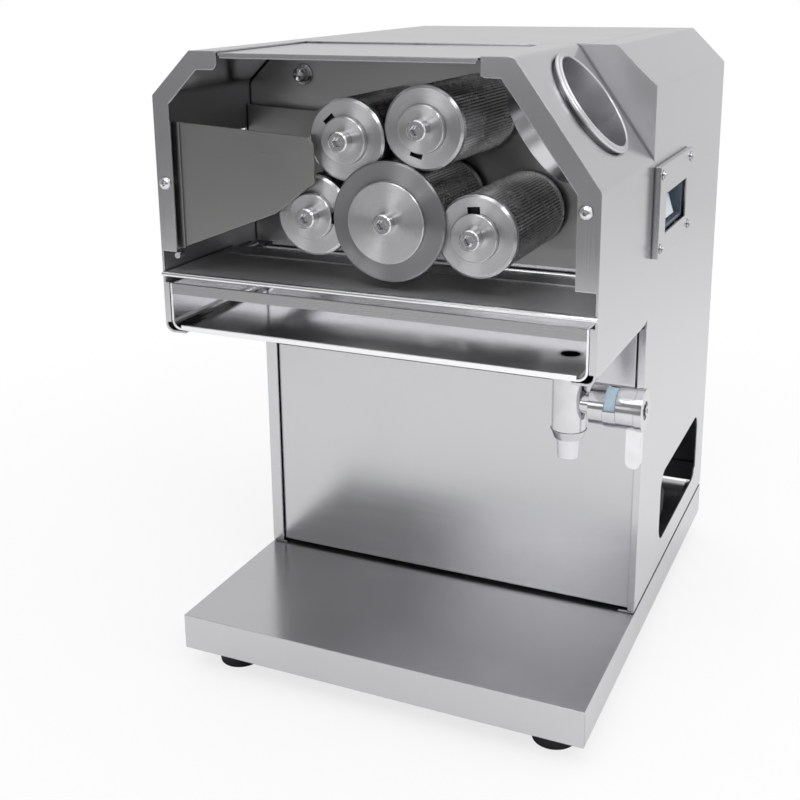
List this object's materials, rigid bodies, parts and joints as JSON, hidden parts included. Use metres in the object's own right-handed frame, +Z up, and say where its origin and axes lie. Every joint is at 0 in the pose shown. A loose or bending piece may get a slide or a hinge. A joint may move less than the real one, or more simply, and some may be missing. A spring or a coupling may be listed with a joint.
{
  "type": "electric sugarcane juicer",
  "caption": "Desktop electric sugarcane juicer: grooved rollers in an overhanging head, side inlet and chute, slide-out pan with tap.",
  "frame": {"origin": "middle of the footprint, tap included, on the surface the feet stand on", "axes": "+Z up, -Y towards the user at the roller side, +X towards the inlet, switch and tap"},
  "size_m": [0.3206, 0.3858, 0.449],
  "materials": {
    "base_pan": "satin brushed stainless sheet",
    "rubber_feet": "black",
    "foot_screws": "zinc plated",
    "side_panel_left": "satin brushed stainless sheet",
    "side_panel_right": "satin brushed stainless sheet",
    "roof_panel": "satin brushed stainless sheet",
    "column_top": "satin brushed stainless sheet",
    "back_panel": "satin brushed stainless sheet",
    "column_front_panel": "satin brushed stainless sheet",
    "splash_plate": "satin brushed stainless sheet",
    "rear_crossbar": "satin brushed stainless sheet",
    "roller_plate": "machined stainless plate",
    "front_bearings": "bronze bush",
    "rear_plate": "grey paint",
    "rear_bearings": "bronze bush",
    "plate_spacers": "grey paint",
    "gearbox": "die cast",
    "gearbox_bolts": "zinc plated",
    "motor": "dark grey paint",
    "inlet_tube": "satin brushed stainless sheet",
    "pulp_chute": "satin brushed stainless sheet",
    "switch_cover": "satin brushed stainless sheet",
    "cover_screws": "bright stainless",
    "switch_body": "dark blue grey",
    "switch_pin": "drawn steel",
    "bezel_screws": "bright stainless",
    "dome_nut": "bright stainless",
    "chute_pin": "bright stainless",
    "power_inlet": "black moulded",
    "run_capacitor": "black moulded",
    "capacitor_clip": "galvanised",
    "roller_sleeve_main": "turned and grooved stainless",
    "shaft_main": "turned stainless",
    "end_bolt_main": "bright stainless",
    "gear_main": "hobbed steel with grease",
    "roller_sleeve_upper_left": "turned and grooved stainless",
    "shaft_upper_left": "turned stainless",
    "end_bolt_upper_left": "bright stainless",
    "gear_upper_left": "hobbed steel with grease",
    "roller_sleeve_upper_right": "turned and grooved stainless",
    "shaft_upper_right": "turned stainless",
    "end_bolt_upper_right": "bright stainless",
    "gear_upper_right": "hobbed steel with grease",
    "roller_sleeve_lower_left": "turned and grooved stainless",
    "shaft_lower_left": "turned stainless",
    "end_bolt_lower_left": "bright stainless",
    "gear_lower_left": "hobbed steel with grease",
    "roller_sleeve_lower_right": "turned and grooved stainless",
    "shaft_lower_right": "turned stainless",
    "end_bolt_lower_right": "bright stainless",
    "gear_lower_right": "hobbed steel with grease",
    "roller_tray": "satin brushed stainless sheet",
    "juice_pan": "satin brushed stainless sheet",
    "tap_body": "polished",
    "tap_nozzle": "polished",
    "tap_seal_ring": "pale blue",
    "tap_hub": "polished",
    "tap_lever": "polished",
    "tap_screw": "bright stainless",
    "switch_rocker": "pale"
  },
  "bodies": {
    "housing": {"base_pan": "base_pan", "rubber_feet": "rubber_feet", "foot_screws": "foot_screws", "side_panel_left": "side_panel_left", "side_panel_right": "side_panel_right", "roof_panel": "roof_panel", "column_top": "column_top", "back_panel": "back_panel", "column_front_panel": "column_front_panel", "splash_plate": "splash_plate", "rear_crossbar": "rear_crossbar", "roller_plate": "roller_plate", "front_bearings": "front_bearings", "rear_plate": "rear_plate", "rear_bearings": "rear_bearings", "plate_spacers": "plate_spacers", "gearbox": "gearbox", "gearbox_bolts": "gearbox_bolts", "motor": "motor", "inlet_tube": "inlet_tube", "pulp_chute": "pulp_chute", "switch_cover": "switch_cover", "cover_screws": "cover_screws", "switch_body": "switch_body", "switch_pin": "switch_pin", "bezel_screws": "bezel_screws", "dome_nut": "dome_nut", "chute_pin": "chute_pin", "power_inlet": "power_inlet", "run_capacitor": "run_capacitor", "capacitor_clip": "capacitor_clip"},
    "main_roller": {"roller_sleeve_main": "roller_sleeve_main", "shaft_main": "shaft_main", "end_bolt_main": "end_bolt_main", "gear_main": "gear_main"},
    "upper_left_roller": {"roller_sleeve_upper_left": "roller_sleeve_upper_left", "shaft_upper_left": "shaft_upper_left", "end_bolt_upper_left": "end_bolt_upper_left", "gear_upper_left": "gear_upper_left"},
    "upper_right_roller": {"roller_sleeve_upper_right": "roller_sleeve_upper_right", "shaft_upper_right": "shaft_upper_right", "end_bolt_upper_right": "end_bolt_upper_right", "gear_upper_right": "gear_upper_right"},
    "lower_left_roller": {"roller_sleeve_lower_left": "roller_sleeve_lower_left", "shaft_lower_left": "shaft_lower_left", "end_bolt_lower_left": "end_bolt_lower_left", "gear_lower_left": "gear_lower_left"},
    "lower_right_roller": {"roller_sleeve_lower_right": "roller_sleeve_lower_right", "shaft_lower_right": "shaft_lower_right", "end_bolt_lower_right": "end_bolt_lower_right", "gear_lower_right": "gear_lower_right"},
    "tray": {"roller_tray": "roller_tray"},
    "pan": {"juice_pan": "juice_pan", "tap_body": "tap_body", "tap_nozzle": "tap_nozzle", "tap_seal_ring": "tap_seal_ring"},
    "tap_valve": {"tap_hub": "tap_hub", "tap_lever": "tap_lever", "tap_screw": "tap_screw"},
    "rocker": {"switch_rocker": "switch_rocker"}
  },
  "joints": [
    {"name": "main_roller_spin", "type": "hinge", "parent": "housing", "child": "main_roller", "pos_m": [0.003, -0.128, 0.346], "axis": [0, 1, 0], "continuous": true},
    {"name": "upper_left_roller_spin", "type": "hinge", "parent": "housing", "child": "upper_left_roller", "pos_m": [-0.02696, -0.128, 0.39508], "axis": [0, 1, 0], "continuous": true},
    {"name": "upper_right_roller_spin", "type": "hinge", "parent": "housing", "child": "upper_right_roller", "pos_m": [0.0254, -0.128, 0.40434], "axis": [0, 1, 0], "continuous": true},
    {"name": "lower_left_roller_spin", "type": "hinge", "parent": "housing", "child": "lower_left_roller", "pos_m": [-0.0512, -0.128, 0.3457], "axis": [0, 1, 0], "continuous": true},
    {"name": "lower_right_roller_spin", "type": "hinge", "parent": "housing", "child": "lower_right_roller", "pos_m": [0.0596, -0.128, 0.3404], "axis": [0, 1, 0], "continuous": true},
    {"name": "tray_slide", "type": "slide", "parent": "housing", "child": "tray", "axis": [0, -1, 0], "range_m": [0, 0.09]},
    {"name": "pan_slide", "type": "slide", "parent": "housing", "child": "pan", "axis": [0, -1, 0], "range_m": [0, 0.12]},
    {"name": "tap_turn", "type": "hinge", "parent": "pan", "child": "tap_valve", "pos_m": [0.111, -0.143, 0.2325], "axis": [-1, 0, 0], "range_deg": [0, 90]},
    {"name": "switch_tilt", "type": "hinge", "parent": "housing", "child": "rocker", "pos_m": [0.131, -0.004, 0.336], "axis": [0, 1, 0], "range_deg": [0, 20]}
  ],
  "couplings": [
    {"joint": "upper_left_roller_spin", "follows": "main_roller_spin", "ratio": -1},
    {"joint": "upper_right_roller_spin", "follows": "main_roller_spin", "ratio": -1},
    {"joint": "lower_left_roller_spin", "follows": "main_roller_spin", "ratio": 1},
    {"joint": "lower_right_roller_spin", "follows": "main_roller_spin", "ratio": 1}
  ]
}
